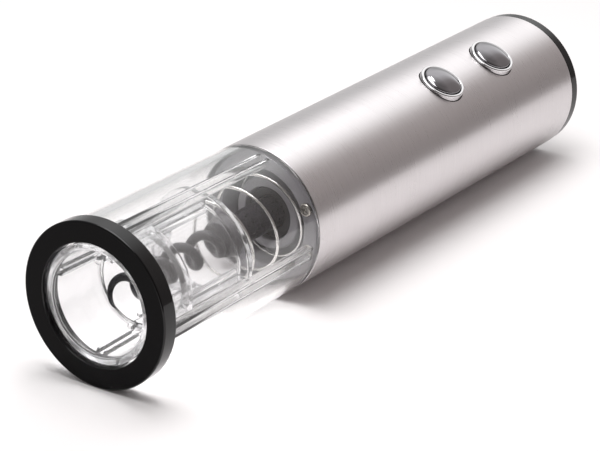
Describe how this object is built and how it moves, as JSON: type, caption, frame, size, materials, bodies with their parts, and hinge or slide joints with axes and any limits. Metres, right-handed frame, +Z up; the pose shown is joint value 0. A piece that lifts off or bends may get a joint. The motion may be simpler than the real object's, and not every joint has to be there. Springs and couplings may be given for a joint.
{
  "type": "electric wine opener",
  "caption": "Cylindrical cordless wine opener: clear guide tube over a spinning worm at one end, brushed steel body with push buttons, screw-on battery cap at the other.",
  "frame": {"origin": "on the table, under the middle of the opener as it lies on its side", "axes": "+X along the opener from the open mouth to the battery cap, +Z up"},
  "size_m": [0.2434, 0.0534, 0.0534],
  "materials": {
    "steel": "brushed round the tube, satin",
    "black_gloss": "moulded ABS, gloss black",
    "clear": "clear moulded acrylic, polished",
    "chrome": "bright chrome plate",
    "spring_wire": "bright drawn stainless wire",
    "worm_coat": "dark non-stick coat on steel, satin",
    "hub_plastic": "dark grey moulded nylon",
    "silver_plastic": "silver-grey moulded ABS, satin",
    "grey_plastic": "grey moulded nylon",
    "gear_steel": "sintered and drawn steel, oiled",
    "bronze": "sintered bronze, and copper winding",
    "board": "glass-epoxy circuit board",
    "cell": "plain shrink-wrapped dry cell",
    "plated": "nickel-plated steel",
    "seal_rubber": "nitrile rubber, matt",
    "red_insulation": "PVC wire insulation",
    "black_insulation": "PVC wire insulation"
  },
  "bodies": {
    "root": {"steel_sleeve": "steel", "mouth_ring": "black_gloss", "clear_tube": "clear", "cup_spring": "spring_wire", "bulkhead": "silver_plastic", "spindle_seal": "seal_rubber", "output_bush": "bronze", "cover_screw_1": "plated", "cover_screw_2": "plated", "cover_screw_3": "plated", "cover_screw_4": "plated", "ring_gear": "grey_plastic", "motor_plate": "grey_plastic", "motor_can": "gear_steel", "motor_screw_1": "plated", "motor_screw_2": "plated", "motor_end_bell": "black_gloss", "motor_lead_red": "red_insulation", "motor_lead_black": "black_insulation", "chassis_upper": "grey_plastic", "chassis_lower": "grey_plastic", "battery_tray": "grey_plastic", "battery_lead_red": "red_insulation", "battery_lead_black": "black_insulation", "cell_1": "cell", "cell_2": "cell", "cell_3": "cell", "cell_4": "cell", "contact_plate_1": "plated", "contact_plate_2": "plated", "contact_spring_1": "spring_wire", "contact_spring_2": "spring_wire", "control_board": "board", "rear_switch": "black_gloss", "front_switch": "black_gloss", "rear_bezel": "chrome", "front_bezel": "chrome", "cap_collar": "grey_plastic"},
    "guide_cup": {"guide_cup": "clear"},
    "worm_drive": {"worm": "worm_coat", "worm_hub": "hub_plastic", "output_spindle": "worm_coat", "stage_two_carrier": "gear_steel"},
    "planet_two_1": {"stage_two_planet_1": "gear_steel"},
    "planet_two_2": {"stage_two_planet_2": "gear_steel"},
    "planet_two_3": {"stage_two_planet_3": "gear_steel"},
    "stage_one": {"stage_one_carrier": "gear_steel"},
    "planet_one_1": {"stage_one_planet_1": "gear_steel"},
    "planet_one_2": {"stage_one_planet_2": "gear_steel"},
    "planet_one_3": {"stage_one_planet_3": "gear_steel"},
    "motor_rotor": {"motor_shaft": "gear_steel", "motor_armature": "bronze"},
    "rear_button": {"rear_button": "chrome", "rear_switch_plunger": "grey_plastic"},
    "front_button": {"front_button": "chrome", "front_switch_plunger": "grey_plastic"},
    "cap_contacts": {"cap_board": "board", "cap_contact_1": "plated", "cap_contact_2": "plated"},
    "end_cap": {"end_cap": "black_gloss"}
  },
  "joints": [
    {"name": "motor_spin", "type": "hinge", "parent": "root", "child": "motor_rotor", "pos_m": [0, 0, 0.02669], "axis": [1, 0, 0], "continuous": true},
    {"name": "planet_one_1_spin", "type": "hinge", "parent": "stage_one", "child": "planet_one_1", "pos_m": [0, 0, 0.01649], "axis": [1, 0, 0], "continuous": true},
    {"name": "planet_one_2_spin", "type": "hinge", "parent": "stage_one", "child": "planet_one_2", "pos_m": [0, 0.00883, 0.03179], "axis": [1, 0, 0], "continuous": true},
    {"name": "planet_one_3_spin", "type": "hinge", "parent": "stage_one", "child": "planet_one_3", "pos_m": [0, -0.00883, 0.03179], "axis": [1, 0, 0], "continuous": true},
    {"name": "stage_one_spin", "type": "hinge", "parent": "root", "child": "stage_one", "pos_m": [0, 0, 0.02669], "axis": [1, 0, 0], "continuous": true},
    {"name": "planet_two_1_spin", "type": "hinge", "parent": "worm_drive", "child": "planet_two_1", "pos_m": [0, 0, 0.01649], "axis": [1, 0, 0], "continuous": true},
    {"name": "planet_two_2_spin", "type": "hinge", "parent": "worm_drive", "child": "planet_two_2", "pos_m": [0, 0.00883, 0.03179], "axis": [1, 0, 0], "continuous": true},
    {"name": "planet_two_3_spin", "type": "hinge", "parent": "worm_drive", "child": "planet_two_3", "pos_m": [0, -0.00883, 0.03179], "axis": [1, 0, 0], "continuous": true},
    {"name": "worm_spin", "type": "hinge", "parent": "root", "child": "worm_drive", "pos_m": [0, 0, 0.02669], "axis": [1, 0, 0], "continuous": true},
    {"name": "cup_slide", "type": "slide", "parent": "root", "child": "guide_cup", "axis": [1, 0, 0], "range_m": [0, 0.026], "stiffness_N_per_m": 150, "springref_m": -0.012, "deforming": ["cup_spring"]},
    {"name": "rear_button_press", "type": "slide", "parent": "root", "child": "rear_button", "axis": [0, 0.4695, -0.8829], "range_m": [0, 0.0008], "stiffness_N_per_m": 1200},
    {"name": "front_button_press", "type": "slide", "parent": "root", "child": "front_button", "axis": [0, 0.4695, -0.8829], "range_m": [0, 0.0008], "stiffness_N_per_m": 1200},
    {"name": "cap_lift", "type": "slide", "parent": "root", "child": "cap_contacts", "axis": [1, 0, 0], "range_m": [0, 0.0061]},
    {"name": "cap_turn", "type": "hinge", "parent": "cap_contacts", "child": "end_cap", "pos_m": [0, 0, 0.02669], "axis": [1, 0, 0], "range_deg": [0, 1080]}
  ],
  "couplings": [
    {"joint": "planet_one_1_spin", "follows": "motor_spin", "ratio": -0.4875},
    {"joint": "planet_one_2_spin", "follows": "motor_spin", "ratio": -0.4875},
    {"joint": "planet_one_3_spin", "follows": "motor_spin", "ratio": -0.4875},
    {"joint": "stage_one_spin", "follows": "motor_spin", "ratio": 0.1875},
    {"joint": "planet_two_1_spin", "follows": "motor_spin", "ratio": -0.091406},
    {"joint": "planet_two_2_spin", "follows": "motor_spin", "ratio": -0.091406},
    {"joint": "planet_two_3_spin", "follows": "motor_spin", "ratio": -0.091406},
    {"joint": "worm_spin", "follows": "motor_spin", "ratio": 0.035156},
    {"joint": "cap_lift", "follows": "cap_turn", "m_per_rad": 0.00031831}
  ]
}
